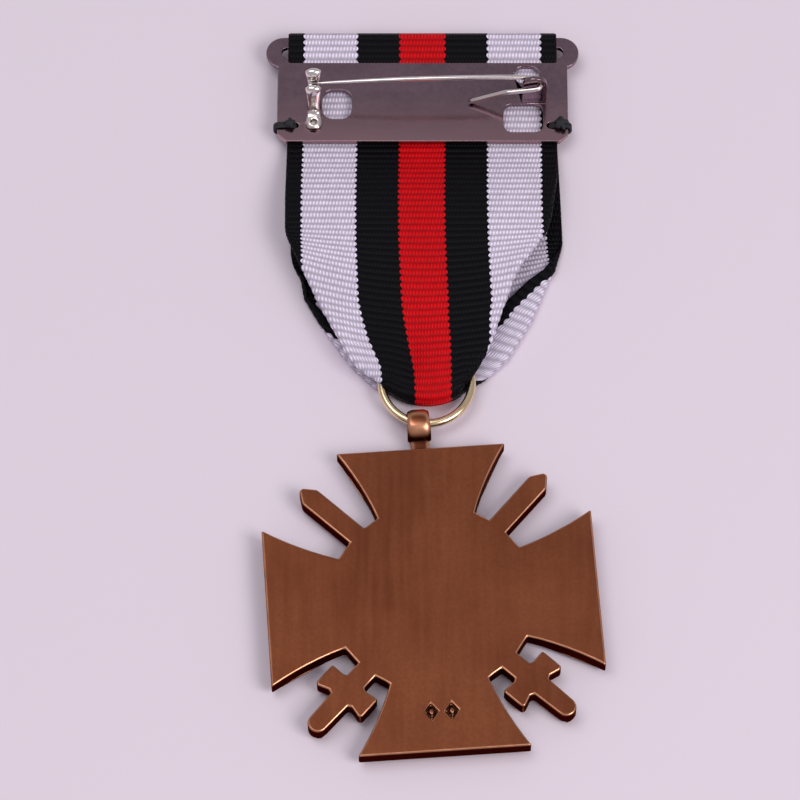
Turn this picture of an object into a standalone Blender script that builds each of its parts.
"""A cross-shaped award with crossed swords, lying face down: its back is up and its pin bar is at +Y.

Metres, +Z up. The origin is the middle of the footprint, on the surface the award lies on. Sizes are
written in millimetres and scaled by MM where a mesh is made. While it is being laid out, everything
is measured from the middle of the cross, and centre_on_origin() then moves the whole award.
"""

from math import asin, atan2, cos, degrees, pi, radians, sin, sqrt

import bmesh
import bpy
from mathutils import Matrix, Vector

MM = 0.001

# The cross and its swords, in the cross's own frame: +Y towards the eyelet
CROSS_HALF = 18.75  # from the middle to the end of an arm
ARM_HALF_WIDTH = 9.7  # at the end of an arm
ARM_ROOT = (10.25, 5.55)  # where the side of an arm meets the round middle
ARM_HOLLOW = 0.3  # how far the side of an arm bows in
DISC_RADIUS = 11.6
CROSS_BACK_Z = 2.8
CROSS_FRONT_Z = 0.8
RIM_WIDTH = 0.7
RIM_HEIGHT = 0.35
WREATH_INNER = 5.6
WREATH_OUTER = 9.0
WREATH_DEPTH = 0.8
SWORD_ANGLE = 46.0
BLADE_HALF = 1.25
BLADE_SHOULDER = 18.75
BLADE_TIP = 20.15
TIP_HALF = 0.25
GUARD_INNER = 13.6
GUARD_OUTER = 16.55
GUARD_HALF = 3.35
GRIP_START = 16.0
GRIP_HALF = 1.35
POMMEL_START = 19.95
POMMEL_RADIUS = 1.15
CROSS_YAW = 4.06  # the cross hangs a little to one side

# The eyelet, soldered to the top of the cross
EYELET_RADIUS = 1.95
EYELET_WALL = 0.45
EYELET_WIDTH = 2.7
EYELET_OFFSET = 3.2  # from the top edge of the cross to the middle of the loop
NECK_WIDTH = 2.3
SOLDER_GAP = 0.05

# The suspension ring
RING_RADIUS = 5.2
WIRE_RADIUS = 0.5
RING_CENTRE = (-0.6, 27.45, 1.95)

# The pin bar
BAR_X = -1.0
PLATE_HALF = 17.25
PLATE_BOTTOM = 59.33
PLATE_TOP = 70.8  # also the lower edge of the ribbon slot
PLATE_Z = 1.75
PLATE_THICK = 0.7
PLATE_CHAMFER = 1.0
SLOT_HEIGHT = 1.4
SLOT_HALF = 16.8
EAR_X = 16.55
EAR_RADIUS = 2.1
STRIP_HEIGHT = 1.4

# The pin, its hinge and its catch
PIN_WIRE = 0.3
HINGE_X = 13.9
HINGE_Y = 64.75
HINGE_HEIGHT = 4.2  # of the hole in the lug over the plate
LUG_X = 13.25
LUG_HALF = 1.45
LUG_THICK = 0.5
LUG_HOLE = 0.4
CATCH_X = -12.9
CATCH_WIDTH = 1.9
CATCH_THICK = 0.35
CATCH_RIVET_Y = 61.6

# The ribbon
RIBBON_WIDTH = 31.5
RIBBON_THICK = 0.45
FRONT_LAYER_Z = 0.28
BACK_LAYER_Z = 1.25
FLEX_Y = 59.3  # the line where the ribbon bends at the lower edge of the plate
FLEX_CLEARANCE = 0.8
FOLD_Y = 24.75  # the lowest point of the fold in the ring
FOLD_TOP = 3.1  # height of the upper layer over the ring
RIBBON_GATHER = (
    (24.0, 3.5), (27.7, 4.2), (30.0, 6.2), (34.0, 9.6), (40.0, 13.0), (47.0, 15.4), (52.0, 15.75)
)  # (y, half the width)
STITCH_X = 15.1
STITCH_Y = 61.5
THREAD_RADIUS = 0.2

PLATE_FACE = PLATE_Z + PLATE_THICK


# Shapes


def clear_scene():
    for obj in list(bpy.data.objects):
        bpy.data.objects.remove(obj, do_unlink=True)


def material(name, colour, metallic, roughness):
    made = bpy.data.materials.new(name)
    made.use_nodes = True
    shader = made.node_tree.nodes["Principled BSDF"]
    shader.inputs["Base Color"].default_value = (*colour, 1.0)
    shader.inputs["Metallic"].default_value = metallic
    shader.inputs["Roughness"].default_value = roughness
    return made


def empty(name, place, parent=None):
    made = bpy.data.objects.new(name, None)
    bpy.context.scene.collection.objects.link(made)
    made.parent = parent
    made.location = Vector(place) * MM
    return made


def add(name, mesh, parent, finish=None):
    made = bpy.data.objects.new(name, mesh)
    bpy.context.scene.collection.objects.link(made)
    made.parent = parent
    if finish:
        mesh.materials.append(finish)
    return made


def as_mesh(name, shape, smooth=35.0):
    """The bmesh as a mesh in metres, its faces pointing out."""
    bmesh.ops.remove_doubles(shape, verts=shape.verts, dist=1e-3)
    bmesh.ops.recalc_face_normals(shape, faces=shape.faces)
    mesh = bpy.data.meshes.new(name)
    shape.to_mesh(mesh)
    shape.free()
    mesh.transform(Matrix.Scale(MM, 4))
    mesh.shade_smooth()
    mesh.set_sharp_from_angle(angle=radians(smooth))
    return mesh


def prism(outline, low, high, chamfer=0.0):
    """A bmesh of the outline in XY, from low to high in Z, with both rims chamfered if asked."""
    shape = bmesh.new()
    base = shape.faces.new([shape.verts.new((x, y, low)) for x, y in outline])
    raised = bmesh.ops.extrude_face_region(shape, geom=[base])
    top = [item for item in raised["geom"] if isinstance(item, bmesh.types.BMVert)]
    bmesh.ops.translate(shape, verts=top, vec=(0, 0, high - low))
    bmesh.ops.recalc_face_normals(shape, faces=shape.faces)
    if chamfer:
        ends = [face for face in shape.faces if abs(face.normal.z) > 0.9]
        for face in ends:
            for vert in face.verts:
                vert.co.z -= face.normal.z * chamfer
            bmesh.ops.inset_region(shape, faces=[face], thickness=chamfer, depth=chamfer)
    return shape


def sideways(shape, axis, place):
    """The bmesh turned so that its Z runs along axis, then moved to place."""
    turn = Vector((0, 0, 1)).rotation_difference(Vector(axis)).to_matrix().to_4x4()
    shape.transform(Matrix.Translation(place) @ turn)
    return shape


def arc(centre, radius, start, end, steps):
    """Points on an arc, in degrees from start to end."""
    turn = (end - start) / steps
    angles = [radians(start + turn * i) for i in range(steps + 1)]
    return [(centre[0] + radius * cos(a), centre[1] + radius * sin(a)) for a in angles]


def circle(centre, radius, steps=24):
    return arc(centre, radius, 0, 360, steps)[:-1]


def box_outline(x0, x1, y0, y1):
    return [(x0, y0), (x1, y0), (x1, y1), (x0, y1)]


def smooth_path(points, steps):
    """A Catmull-Rom curve through the points, with steps stretches between each two."""
    points = [Vector(point) for point in points]
    first = points[0] * 2 - points[1]
    last = points[-1] * 2 - points[-2]
    held = [first, *points, last]
    path = []
    for before, start, end, after in zip(held, held[1:], held[2:], held[3:]):
        for i in range(steps):
            t = i / steps
            path.append(
                0.5 * (2 * start + (end - before) * t
                       + (2 * before - 5 * start + 4 * end - after) * t * t
                       + (3 * start - before - 3 * end + after) * t ** 3)
            )
    return [*path, points[-1]]


def strip_sides(path, thickness):
    """The two sides of a strip that follows the path, a list of 2-D vectors."""
    left, right = [], []
    for i, point in enumerate(path):
        along = (path[min(i + 1, len(path) - 1)] - path[max(i - 1, 0)]).normalized()
        across = Vector((-along.y, along.x)) * thickness / 2
        left.append(point + across)
        right.append(point - across)
    return left, right


def boolean(obj, operation, others):
    for other in others:
        other.hide_render = True
        other.display_type = "WIRE"
        step = obj.modifiers.new(other.name, "BOOLEAN")
        step.operation = operation
        step.object = other


def wire(name, points, radius, parent, finish, radii=None, closed=False):
    """A round wire through the points, in millimetres."""
    curve = bpy.data.curves.new(name, "CURVE")
    curve.dimensions = "3D"
    curve.bevel_depth = radius * MM
    curve.bevel_resolution = 2
    curve.use_fill_caps = not closed
    spline = curve.splines.new("POLY")
    spline.points.add(len(points) - 1)
    for i, (knot, point) in enumerate(zip(spline.points, points)):
        knot.co = (*(Vector(point) * MM), 1.0)
        knot.radius = radii[i] if radii else 1.0
    spline.use_cyclic_u = closed
    curve.materials.append(finish)
    made = bpy.data.objects.new(name, curve)
    bpy.context.scene.collection.objects.link(made)
    made.parent = parent
    return made


# The cross


def sword_point(angle, along, across):
    """A point of a sword that points outwards at this angle; across is on its anticlockwise side."""
    turn = radians(angle)
    return (along * cos(turn) - across * sin(turn), along * sin(turn) + across * cos(turn))


def blade(angle):
    root = sqrt(DISC_RADIUS ** 2 - BLADE_HALF ** 2)
    half = [(root, BLADE_HALF), (BLADE_SHOULDER, BLADE_HALF), (BLADE_TIP, TIP_HALF)]
    side = [(along, -across) for along, across in half]
    return [sword_point(angle, *point) for point in side + half[::-1]]


def hilt(angle):
    root = sqrt(DISC_RADIUS ** 2 - BLADE_HALF ** 2)
    half = [
        (root, BLADE_HALF), (GUARD_INNER - 0.2, BLADE_HALF), (GUARD_INNER, 1.6),
        (GUARD_INNER - 0.1, GUARD_HALF - 0.2), (GUARD_INNER + 0.1, GUARD_HALF),
        (GUARD_OUTER - 0.3, GUARD_HALF), (GUARD_OUTER, GUARD_HALF - 0.35),
        (GRIP_START + 0.1, GRIP_HALF + 0.3), (GRIP_START + 0.3, GRIP_HALF - 0.1),
    ]
    side = [(along, -across) for along, across in half]
    pommel = arc((POMMEL_START, 0), POMMEL_RADIUS, -90, 90, 10)
    return [sword_point(angle, *point) for point in side + pommel + half[::-1]]


def arm_side(end, root, steps=6):
    """The bowed side of an arm, from its end to its root, without either point repeated."""
    end, root = Vector(end), Vector(root)
    run = root - end
    across = Vector((-run.y, run.x)).normalized()
    if across.dot(-(end + root)) < 0:
        across = -across
    points = []
    for i in range(steps + 1):
        t = i / steps
        points.append(tuple(end + run * t + across * 4 * ARM_HOLLOW * t * (1 - t)))
    return points


def quarter(angle, sword):
    """The outline from the arm before this sword to the arm after it, anticlockwise."""
    half_turn = degrees(asin(BLADE_HALF / DISC_RADIUS))
    root_angle = degrees(atan2(ARM_ROOT[1], ARM_ROOT[0]))
    base = 90 * (angle // 90)
    turn = Matrix.Rotation(radians(base), 2)
    end = (CROSS_HALF, ARM_HALF_WIDTH)
    before = [tuple(turn @ Vector(p)) for p in arm_side(end, ARM_ROOT)]
    mirrored = [tuple(turn @ Vector((y, x))) for x, y in arm_side(end, ARM_ROOT)]
    first = arc((0, 0), DISC_RADIUS, base + root_angle, angle - half_turn, 3)[1:-1]
    last = arc((0, 0), DISC_RADIUS, angle + half_turn, base + 90 - root_angle, 3)[1:-1]
    return before + first + sword(angle) + last + mirrored[::-1]


def cross_outline():
    return (
        quarter(SWORD_ANGLE, blade) + quarter(180 - SWORD_ANGLE, blade)
        + quarter(180 + SWORD_ANGLE, hilt) + quarter(360 - SWORD_ANGLE, hilt)
    )


def field_outline():
    """The sunken field of the front, inside the rim and clear of the swords."""
    radius = DISC_RADIUS - RIM_WIDTH
    side = degrees(atan2(ARM_ROOT[1], ARM_ROOT[0])) - 3
    end = Vector((CROSS_HALF - RIM_WIDTH, ARM_HALF_WIDTH - 1.2 * RIM_WIDTH))
    points = []
    for base in (0, 90, 180, 270):
        turn = Matrix.Rotation(radians(base), 2)
        points += [tuple(turn @ Vector((end.x, -end.y))), tuple(turn @ end)]
        points += arc((0, 0), radius, base + side, base + 90 - side, 8)
    return points


def turned(profile, steps=48):
    """A closed solid turned about Z from (radius, z) points."""
    shape = bmesh.new()
    ring = [shape.verts.new((radius, 0, z)) for radius, z in profile]
    pairs = zip(ring, ring[1:] + ring[:1])
    edges = [shape.edges.new((a, b)) for a, b in pairs if a.co.x or b.co.x]
    bmesh.ops.spin(
        shape, geom=ring + edges, axis=(0, 0, 1), cent=(0, 0, 0), angle=2 * pi, steps=steps
    )
    return shape


def make_cross(parent, finish):
    shape = prism(cross_outline(), CROSS_FRONT_Z, CROSS_BACK_Z)
    cross = add("cross", as_mesh("cross", shape, 20.0), parent, finish)

    field_z = CROSS_FRONT_Z + RIM_HEIGHT
    field = prism(field_outline(), CROSS_FRONT_Z - 1, field_z)
    boolean(cross, "DIFFERENCE", [add("field_cutter", as_mesh("field_cutter", field), parent)])
    low = CROSS_FRONT_Z - WREATH_DEPTH
    middle = (WREATH_INNER + WREATH_OUTER) / 2
    wreath = turned([
        (WREATH_INNER, field_z + 0.4), (WREATH_INNER, low + 0.4), (middle - 0.9, low),
        (middle + 0.9, low), (WREATH_OUTER, low + 0.4), (WREATH_OUTER, field_z + 0.4),
    ])
    boolean(cross, "UNION", [add("wreath_form", as_mesh("wreath_form", wreath), parent)])
    return cross


def make_eyelet(parent, finish):
    middle = Vector((0, CROSS_HALF + EYELET_OFFSET, EYELET_RADIUS))
    half = EYELET_WIDTH / 2
    hoop = prism(circle((0, 0), EYELET_RADIUS, 32), -half, half, 0.12)
    eyelet = add("eyelet", as_mesh("eyelet", sideways(hoop, (1, 0, 0), middle)), parent, finish)

    low = CROSS_HALF + SOLDER_GAP
    neck = prism(
        box_outline(-NECK_WIDTH / 2, NECK_WIDTH / 2, low, middle.y - 1.0),
        CROSS_FRONT_Z + 0.4, CROSS_BACK_Z - 0.1,
    )
    bore = prism(circle((0, 0), EYELET_RADIUS - EYELET_WALL, 32), -half - 1, half + 1)
    bore = sideways(bore, (1, 0, 0), middle)
    boolean(eyelet, "UNION", [add("neck_form", as_mesh("neck_form", neck), parent)])
    boolean(eyelet, "DIFFERENCE", [add("eyelet_bore", as_mesh("eyelet_bore", bore), parent)])
    return eyelet


def make_ring(parent, finish):
    shape = turned([(RING_RADIUS + x, z) for x, z in circle((0, 0), WIRE_RADIUS, 12)], 56)
    return add("ring", as_mesh("ring", shape, 60.0), parent, finish)


# The pin bar


def opening(name, outline, parent):
    shape = prism(outline, PLATE_Z - 1, PLATE_FACE + 1)
    return add(name, as_mesh(name, shape), parent)


def rounded_box(x0, x1, y0, y1, radius):
    corners = [((x1, y0), -90), ((x1, y1), 0), ((x0, y1), 90), ((x0, y0), 180)]
    points = []
    for (x, y), start in corners:
        centre = (x + (radius if x == x0 else -radius), y + (radius if y == y0 else -radius))
        points += arc(centre, radius, start, start + 90, 5)
    return points


def make_plate(parent, finish):
    cut = PLATE_CHAMFER
    body = [
        (-PLATE_HALF + cut, PLATE_BOTTOM), (PLATE_HALF - cut, PLATE_BOTTOM),
        (PLATE_HALF, PLATE_BOTTOM + cut), (PLATE_HALF, PLATE_TOP),
        (-PLATE_HALF, PLATE_TOP), (-PLATE_HALF, PLATE_BOTTOM + cut),
    ]
    plate = add("back_plate", as_mesh("back_plate", prism(body, PLATE_Z, PLATE_FACE)), parent, finish)

    slot_top = PLATE_TOP + SLOT_HEIGHT
    ear_y = PLATE_TOP + SLOT_HEIGHT / 2
    strip = prism(
        box_outline(-EAR_X, EAR_X, PLATE_TOP - 1, slot_top + STRIP_HEIGHT), PLATE_Z, PLATE_FACE
    )
    forms = [add("strip_form", as_mesh("strip_form", strip), parent)]
    for side in (-1, 1):
        ear = prism(circle((side * EAR_X, ear_y), EAR_RADIUS, 28), PLATE_Z, PLATE_FACE)
        forms.append(add("ear_form", as_mesh("ear_form", ear), parent))
    forms.append(lug_form(parent))
    boolean(plate, "UNION", forms)

    cutters = [
        opening(
            "slot_cutter",
            rounded_box(-SLOT_HALF, SLOT_HALF, PLATE_TOP, slot_top, SLOT_HEIGHT / 2 - 0.01), parent
        ),
        opening("catch_window", rounded_box(-11.9, -8.4, 62.4, 66.4, 1.3), parent),
        opening("upper_window", rounded_box(10.9, 13.9, 67.3, 69.6, 1.1), parent),
        opening("lower_window", rounded_box(9.6, 14.3, 60.6, 64.45, 1.0), parent),
        opening("catch_rivet_hole", circle((CATCH_X, CATCH_RIVET_Y), 0.55, 16), parent),
    ]
    for side in (-1, 1):
        cutters.append(opening("stitch_hole", circle((side * STITCH_X, STITCH_Y), 0.4, 12), parent))
    bore = prism(circle((0, 0), LUG_HOLE, 20), -1, 1)
    bore = sideways(bore, (0, 1, 0), (HINGE_X, HINGE_Y, PLATE_FACE + HINGE_HEIGHT))
    cutters.append(add("lug_bore", as_mesh("lug_bore", bore), parent))
    boolean(plate, "DIFFERENCE", cutters)
    return plate


def lug_form(parent):
    """The round-headed tab, bent up out of the plate, whose hole the pin turns in."""
    head = arc((0, HINGE_HEIGHT - 0.1), LUG_HALF, 0, 180, 14)
    shape = prism([(-LUG_HALF, -0.3), (LUG_HALF, -0.3), *head], -LUG_THICK / 2, LUG_THICK / 2)
    # The outline's up becomes +Z, and its depth runs along -Y
    shape.transform(Matrix.Rotation(pi / 2, 4, "X"))
    shape.transform(Matrix.Translation((LUG_X, HINGE_Y, PLATE_FACE)))
    return add("lug_form", as_mesh("lug_form", shape), parent)


def pin_route():
    """The pin's wire about its hinge: the sharp leg, the turn through the lug and the sprung tail."""
    return smooth_path([
        (-27.0, 0.3, -0.5), (-23.0, 0.3, -0.1), (-16.0, 0.35, 0.4), (-9.0, 0.5, 0.5),
        (-3.5, 0.7, 0.3), (-0.75, 0.76, 0.04), (-0.2, 0.62, 0.0), (0.0, 0.2, 0.0),
        (0.0, -0.2, 0.0), (-0.2, -0.62, -0.03), (-0.75, -0.74, -0.15), (-3.5, -0.6, -0.95),
        (-4.2, -0.5, -1.25), (-6.5, -0.3, -2.7), (-8.3, -0.2, -3.78),
    ], 4)


def make_pin(parent, finish):
    route = pin_route()
    taper = 8
    radii = [0.35 + 0.65 * min(i / taper, 1) for i in range(len(route))]
    return wire("brooch_pin", route, PIN_WIRE, parent, finish, radii)


def make_catch(parent, finish):
    """A strip bent into a foot and two humps, with the pin in the groove between them."""
    path = smooth_path([
        (60.9, 0.23), (62.6, 0.23), (63.25, 0.8), (63.4, 2.6), (63.6, 4.1), (64.0, 4.55),
        (64.38, 4.2), (64.45, 3.55), (65.05, 3.1), (65.65, 3.55), (65.72, 4.3), (66.15, 4.75),
        (66.6, 4.3), (66.95, 2.6), (67.35, 0.9), (67.6, 0.3),
    ], 3)
    left, right = strip_sides(path, CATCH_THICK)
    outline = [tuple(p) for p in right + left[::-1]]
    shape = prism(outline, -CATCH_WIDTH / 2, CATCH_WIDTH / 2)
    # The outline is drawn in (y, height): X becomes +Y, Y becomes +Z and depth becomes +X
    shape.transform(Matrix(((0, 0, 1, CATCH_X), (1, 0, 0, 0), (0, 1, 0, PLATE_FACE), (0, 0, 0, 1))))
    catch = add("catch", as_mesh("catch", shape), parent, finish)
    hole = prism(circle((CATCH_X, CATCH_RIVET_Y), 0.5, 16), PLATE_FACE - 1, PLATE_FACE + 1.2)
    boolean(catch, "DIFFERENCE", [add("catch_hole", as_mesh("catch_hole", hole), parent)])
    return catch


def make_catch_rivet(parent, finish):
    top = PLATE_FACE + 0.46
    shape = turned([
        (0, PLATE_Z - 0.15), (0.75, PLATE_Z - 0.15), (0.75, PLATE_Z - 0.02), (0.44, PLATE_Z - 0.02),
        (0.44, top), (0.85, top), (0.85, top + 0.15), (0.6, top + 0.32), (0.4, top + 0.25),
        (0.3, top - 0.3), (0, top - 0.3),
    ], 20)
    shape.transform(Matrix.Translation((CATCH_X, CATCH_RIVET_Y, 0)))
    return add("catch_rivet", as_mesh("catch_rivet", shape), parent, finish)


# The ribbon and its threads


def ribbon_upper_path():
    """(y, z) from the flex line, under the plate, up through the slot, over the strip and back."""
    start = FLEX_Y + FLEX_CLEARANCE
    slot_y = PLATE_TOP + SLOT_HEIGHT / 2
    strip_top = PLATE_TOP + SLOT_HEIGHT + STRIP_HEIGHT
    over = PLATE_FACE + 0.15 + RIBBON_THICK / 2
    bend = smooth_path([
        (slot_y - 1.3, BACK_LAYER_Z), (slot_y - 0.5, 1.38), (slot_y - 0.05, PLATE_Z + 0.3),
        (slot_y + 0.3, over - 0.1), (slot_y + 0.9, over), (strip_top - 0.1, over),
        (strip_top + 0.42, over - 0.3), (strip_top + 0.6, PLATE_Z + 0.3), (strip_top + 0.45, 1.0),
        (strip_top, 0.48), (strip_top - 0.9, FRONT_LAYER_Z),
    ], 4)
    ends = [Vector((start, BACK_LAYER_Z)), Vector((start, FRONT_LAYER_Z))]
    return [ends[0], *bend, ends[1]]


def make_ribbon_upper(parent, finish):
    left, right = strip_sides(ribbon_upper_path(), RIBBON_THICK)
    outline = [tuple(p) for p in right + left[::-1]]
    shape = prism(outline, -RIBBON_WIDTH / 2, RIBBON_WIDTH / 2)
    shape.transform(Matrix(((0, 0, 1, 0), (1, 0, 0, 0), (0, 1, 0, 0), (0, 0, 0, 1))))
    ribbon = add("ribbon_upper", as_mesh("ribbon_upper", shape), parent, finish)
    holes = []
    for side in (-1, 1):
        hole = prism(circle((side * STITCH_X, STITCH_Y), 0.3, 12), 0.7, PLATE_Z)
        holes.append(add("needle_hole", as_mesh("needle_hole", hole), parent))
    boolean(ribbon, "DIFFERENCE", holes)
    return ribbon


def ribbon_half_width(y):
    """Half the width of the hanging ribbon, gathered towards the ring."""
    for (y0, half0), (y1, half1) in zip(RIBBON_GATHER, RIBBON_GATHER[1:]):
        if y <= y1:
            return half0 + (half1 - half0) * max(0.0, (y - y0) / (y1 - y0))
    return RIBBON_GATHER[-1][1]


def ribbon_middle(y):
    """X of the ribbon's middle, which moves over from the bar to the ring."""
    share = min(max((FLEX_Y - y) / (FLEX_Y - RING_CENTRE[1]), 0.0), 1.0)
    return BAR_X + (RING_CENTRE[0] - BAR_X) * share


def make_ribbon_lower(parent, finish):
    """The hanging loop: down from the plate, through the ring and back up under itself."""
    bend = (FOLD_TOP - FRONT_LAYER_Z) / 2
    middle = (FOLD_Y + RIBBON_THICK / 2 + bend, FRONT_LAYER_Z + bend)
    fold = [Vector(point) for point in arc(middle, bend, 90, 270, 12)]
    down = smooth_path([
        (FLEX_Y, BACK_LAYER_Z), (FLEX_Y - 2.5, BACK_LAYER_Z + 0.1), (50.0, 2.9), (42.0, 3.6),
        (35.0, 3.5), (30.0, FOLD_TOP + 0.1), tuple(fold[0]),
    ], 3)
    up = [Vector((y, FRONT_LAYER_Z)) for y in (30.0, 35.0, 40.0, 46.0, 52.0, FLEX_Y)]
    path = down[:-1] + fold + up
    left, right = strip_sides(path, RIBBON_THICK)
    shape = bmesh.new()
    rings = []
    for middle, inner, outer in zip(path, left, right):
        half = ribbon_half_width(middle.x)
        corners = ((-half, inner), (half, inner), (half, outer), (-half, outer))
        x0 = ribbon_middle(middle.x)
        rings.append([shape.verts.new((x0 + x, p.x, p.y)) for x, p in corners])
    for a, b in zip(rings, rings[1:]):
        for i in range(4):
            j = (i + 1) % 4
            shape.faces.new((a[i], a[j], b[j], b[i]))
    shape.faces.new(rings[0])
    shape.faces.new(rings[-1])
    return add("ribbon_lower", as_mesh("ribbon_lower", shape), parent, finish)


def make_stitch(name, side, parent, finish):
    """A loop of thread through the plate and the ribbon, round the side of the plate."""
    inner, outer = STITCH_X, PLATE_HALF + THREAD_RADIUS + 0.06
    low, high = 0.77, PLATE_FACE + THREAD_RADIUS + 0.03
    outline = rounded_box(inner, outer, low, high, 0.2)
    points = [(side * x, STITCH_Y, z) for x, z in outline]
    return wire(name, points, THREAD_RADIUS, parent, finish, closed=True)


def centre_on_origin(root):
    """Moves the award so that the middle of its footprint is the origin."""
    bpy.context.view_layer.update()
    graph = bpy.context.evaluated_depsgraph_get()
    corners = []
    for obj in bpy.context.scene.objects:
        if obj.type == "EMPTY" or obj.hide_render:
            continue
        seen = obj.evaluated_get(graph)
        mesh = seen.to_mesh()
        corners += [seen.matrix_world @ vert.co for vert in mesh.vertices]
        seen.to_mesh_clear()
    low = [min(corner[axis] for corner in corners) for axis in range(3)]
    high = [max(corner[axis] for corner in corners) for axis in range(3)]
    root.location = (-(low[0] + high[0]) / 2, -(low[1] + high[1]) / 2, -low[2])


def main():
    clear_scene()
    bronze = material("aged_bronze", (0.17, 0.06, 0.027), 1.0, 0.38)
    gunmetal = material("bar_steel", (0.16, 0.11, 0.12), 1.0, 0.35)
    nickel = material("nickel_wire", (0.62, 0.58, 0.54), 1.0, 0.2)
    gold = material("pale_gold", (0.75, 0.62, 0.38), 1.0, 0.18)
    cloth = material("striped_ribbon", (0.55, 0.02, 0.02), 0.0, 0.8)
    cotton = material("black_thread", (0.01, 0.01, 0.015), 0.0, 0.8)

    root = empty("award", (0, 0, 0))
    bar = empty("bar", (BAR_X, 0, 0), root)
    make_plate(bar, gunmetal)
    make_catch(bar, nickel)
    make_catch_rivet(bar, nickel)
    make_ribbon_upper(bar, cloth)
    make_stitch("stitch_left", -1, bar, cotton)
    make_stitch("stitch_right", 1, bar, cotton)

    pin = empty("pin_axis", (HINGE_X, HINGE_Y, PLATE_FACE + HINGE_HEIGHT), bar)
    make_pin(pin, nickel)

    make_ribbon_lower(root, cloth)
    make_ring(empty("ring_axis", RING_CENTRE, root), gold)

    medal = empty("cross_frame", (0, 0, 0), root)
    medal.rotation_euler.z = radians(CROSS_YAW)
    make_cross(medal, bronze)
    make_eyelet(medal, bronze)
    centre_on_origin(root)


main()
